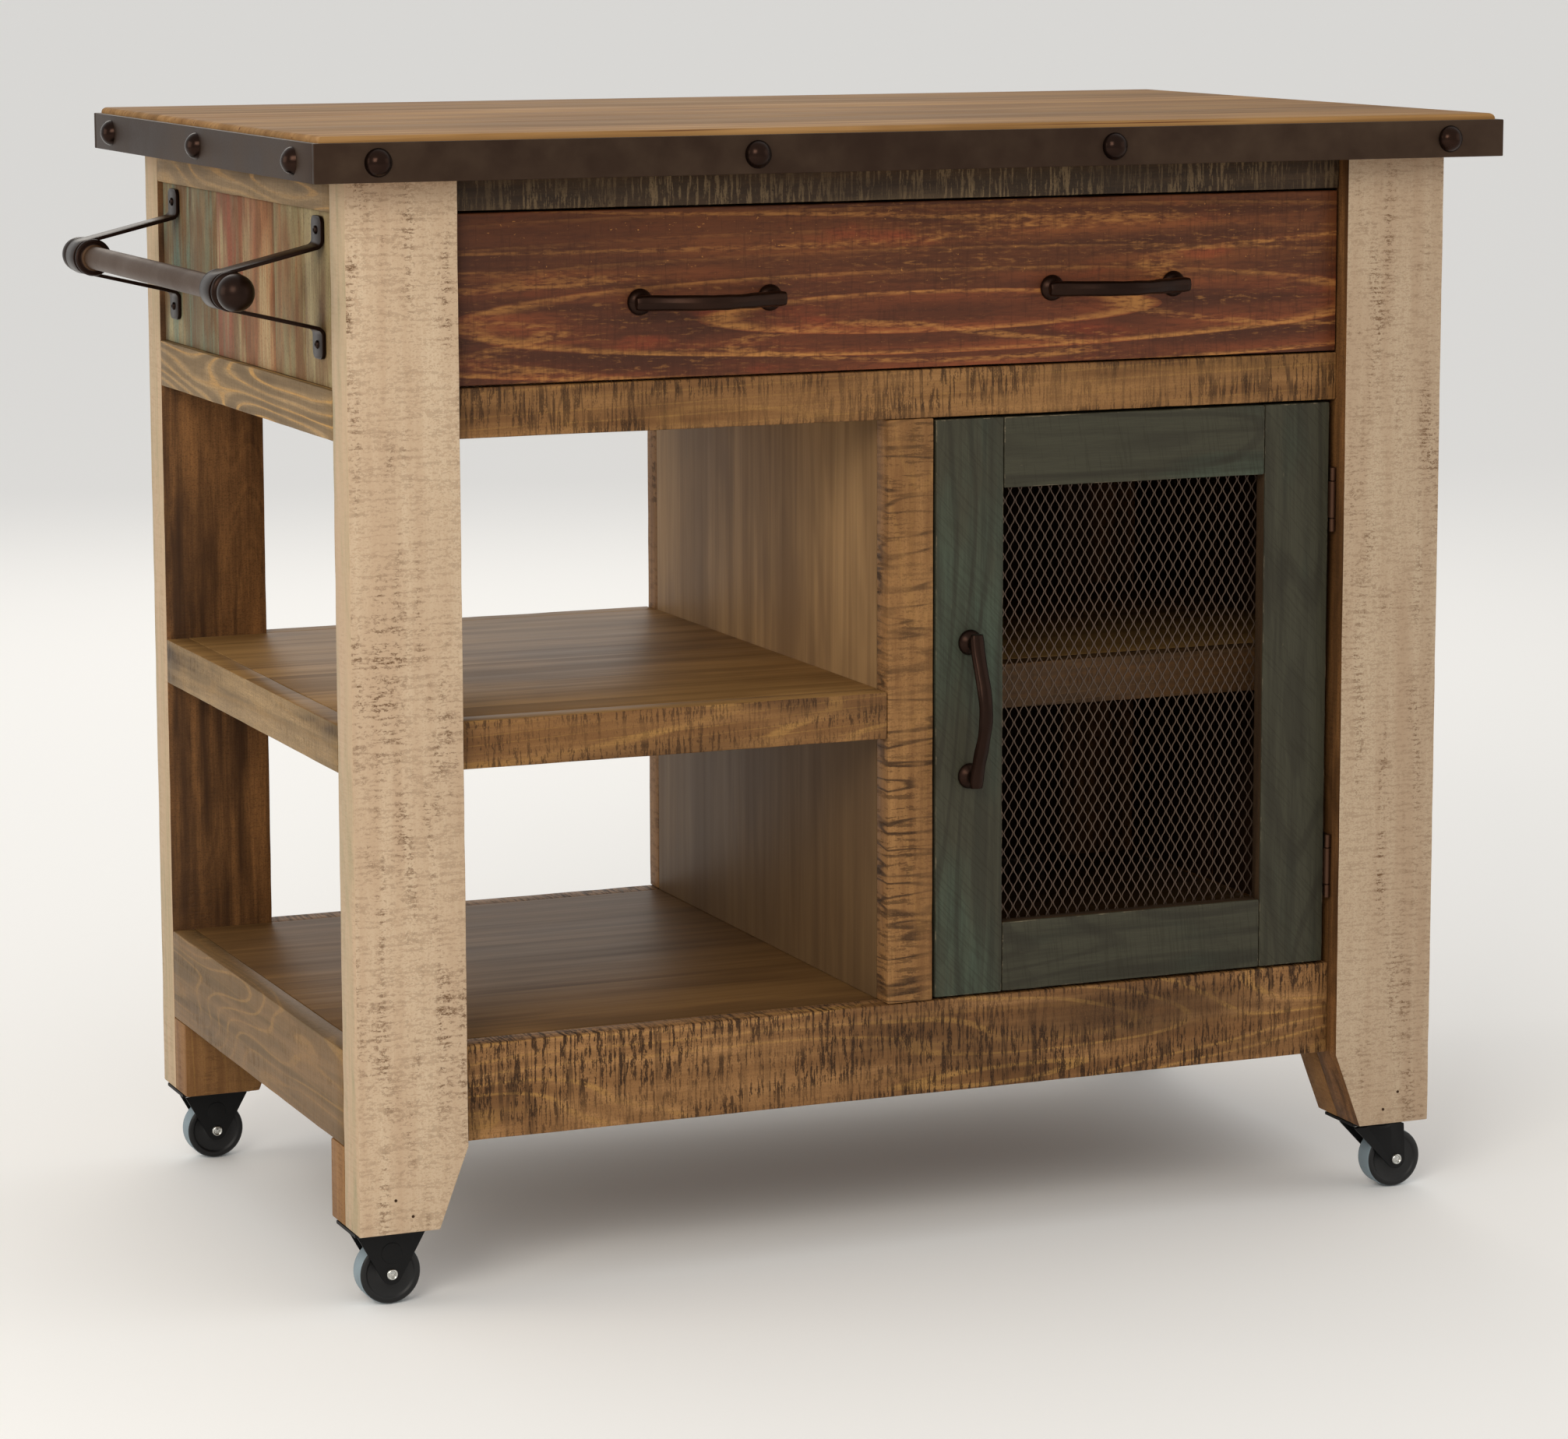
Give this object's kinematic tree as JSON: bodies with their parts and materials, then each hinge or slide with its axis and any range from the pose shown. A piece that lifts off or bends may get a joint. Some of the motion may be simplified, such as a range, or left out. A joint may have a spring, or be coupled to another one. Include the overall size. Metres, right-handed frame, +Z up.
{
  "type": "kitchen island cart",
  "caption": "Rustic wooden kitchen island cart with a steel-banded plank top, a full-width drawer, an open shelf bay, a mesh-door cabinet, a towel bar and casters.",
  "frame": {"origin": "on the floor, under the middle of the cart's overall box", "axes": "+X to the right along the front, +Y to the back, +Z up; the drawer and the door are on the -Y side and the towel bar at -X"},
  "size_m": [1.078, 0.6526, 0.914],
  "materials": {
    "whitewashed_wood": "whitewashed rough-sawn pine, matt",
    "amber_wood": "amber stain on rough-sawn pine",
    "top_wood": "satin honey-brown planks",
    "shelf_wood": "satin dark brown",
    "red_wood": "reddish-brown stain with honey grain",
    "teal_wood": "worn dark teal paint",
    "plank_wood": "planks of faded teal, orange and cream paint",
    "bare_wood": "clear-coated pine",
    "bronze_steel": "oil-rubbed bronze coating, satin",
    "copper_hinge": "antique copper, satin",
    "zinc_steel": "bright zinc",
    "black_steel": "black, semi-matt",
    "black_plastic": "matt black",
    "caster_tread": "black wheel with a blue-grey tread"
  },
  "bodies": {
    "cart": {"worktop": "top_wood", "band_front": "bronze_steel", "band_back": "bronze_steel", "band_left": "bronze_steel", "band_right": "bronze_steel", "leg_front_left": "whitewashed_wood", "leg_front_right": "whitewashed_wood", "leg_back_left": "whitewashed_wood", "leg_back_right": "whitewashed_wood", "rail_front_top": "amber_wood", "rail_front_mid": "amber_wood", "rail_front_deck": "amber_wood", "stile_front": "amber_wood", "rail_left_top": "amber_wood", "rail_left_mid": "amber_wood", "rail_left_deck": "amber_wood", "panel_left": "plank_wood", "end_frame_right": "plank_wood", "rail_right_deck": "amber_wood", "back_frame": "plank_wood", "rail_back_deck": "amber_wood", "shelf_mid": "shelf_wood", "deck_board": "shelf_wood", "divider": "shelf_wood", "cabinet_shelf": "shelf_wood", "slide_rail_left": "zinc_steel", "slide_rail_right": "zinc_steel", "hinge_leaf_upper_frame": "copper_hinge", "hinge_leaf_lower_frame": "copper_hinge", "magnet_catch": "black_plastic", "towel_bar": "bronze_steel", "towel_strap_front": "bronze_steel", "towel_strap_back": "bronze_steel", "caster_fork_front_left": "black_steel", "caster_fork_back_left": "black_steel", "caster_plate_front_right": "black_steel", "caster_plate_back_right": "black_steel"},
    "drawer": {"drawer_front": "red_wood", "drawer_side_left": "bare_wood", "drawer_side_right": "bare_wood", "drawer_back": "bare_wood", "drawer_bottom": "bare_wood", "drawer_pull_left": "bronze_steel", "drawer_pull_right": "bronze_steel", "slide_runner_left": "zinc_steel", "slide_runner_right": "zinc_steel"},
    "door": {"door_stile_left": "teal_wood", "door_stile_right": "teal_wood", "door_rail_top": "teal_wood", "door_rail_bottom": "teal_wood", "door_mesh": "bronze_steel", "door_pull": "bronze_steel", "hinge_leaf_upper_door": "copper_hinge", "hinge_leaf_lower_door": "copper_hinge"},
    "wheel_front_left": {"caster_wheel_front_left": "caster_tread"},
    "wheel_back_left": {"caster_wheel_back_left": "caster_tread"},
    "swivel_front_right": {"caster_fork_front_right": "black_steel"},
    "swivel_back_right": {"caster_fork_back_right": "black_steel"},
    "wheel_front_right": {"caster_wheel_front_right": "caster_tread"},
    "wheel_back_right": {"caster_wheel_back_right": "caster_tread"}
  },
  "joints": [
    {"name": "drawer_slide", "type": "slide", "parent": "cart", "child": "drawer", "axis": [0, -1, 0], "range_m": [0, 0.32]},
    {"name": "door_hinge", "type": "hinge", "parent": "cart", "child": "door", "pos_m": [0.40325, -0.2675, 0.4415], "axis": [0, 0, 1], "range_deg": [0, 100]},
    {"name": "wheel_spin_front_left", "type": "hinge", "parent": "cart", "child": "wheel_front_left", "pos_m": [-0.41875, -0.2455, 0.025], "axis": [0, 1, 0], "continuous": true},
    {"name": "wheel_spin_back_left", "type": "hinge", "parent": "cart", "child": "wheel_back_left", "pos_m": [-0.41875, 0.2455, 0.025], "axis": [0, 1, 0], "continuous": true},
    {"name": "swivel_turn_front_right", "type": "hinge", "parent": "cart", "child": "swivel_front_right", "pos_m": [0.46325, -0.2455, 0.055], "axis": [0, 0, 1], "continuous": true},
    {"name": "swivel_turn_back_right", "type": "hinge", "parent": "cart", "child": "swivel_back_right", "pos_m": [0.46325, 0.2455, 0.055], "axis": [0, 0, 1], "continuous": true},
    {"name": "wheel_spin_front_right", "type": "hinge", "parent": "swivel_front_right", "child": "wheel_front_right", "pos_m": [0.47925, -0.2455, 0.025], "axis": [0, 1, 0], "continuous": true},
    {"name": "wheel_spin_back_right", "type": "hinge", "parent": "swivel_back_right", "child": "wheel_back_right", "pos_m": [0.47925, 0.2455, 0.025], "axis": [0, 1, 0], "continuous": true}
  ]
}
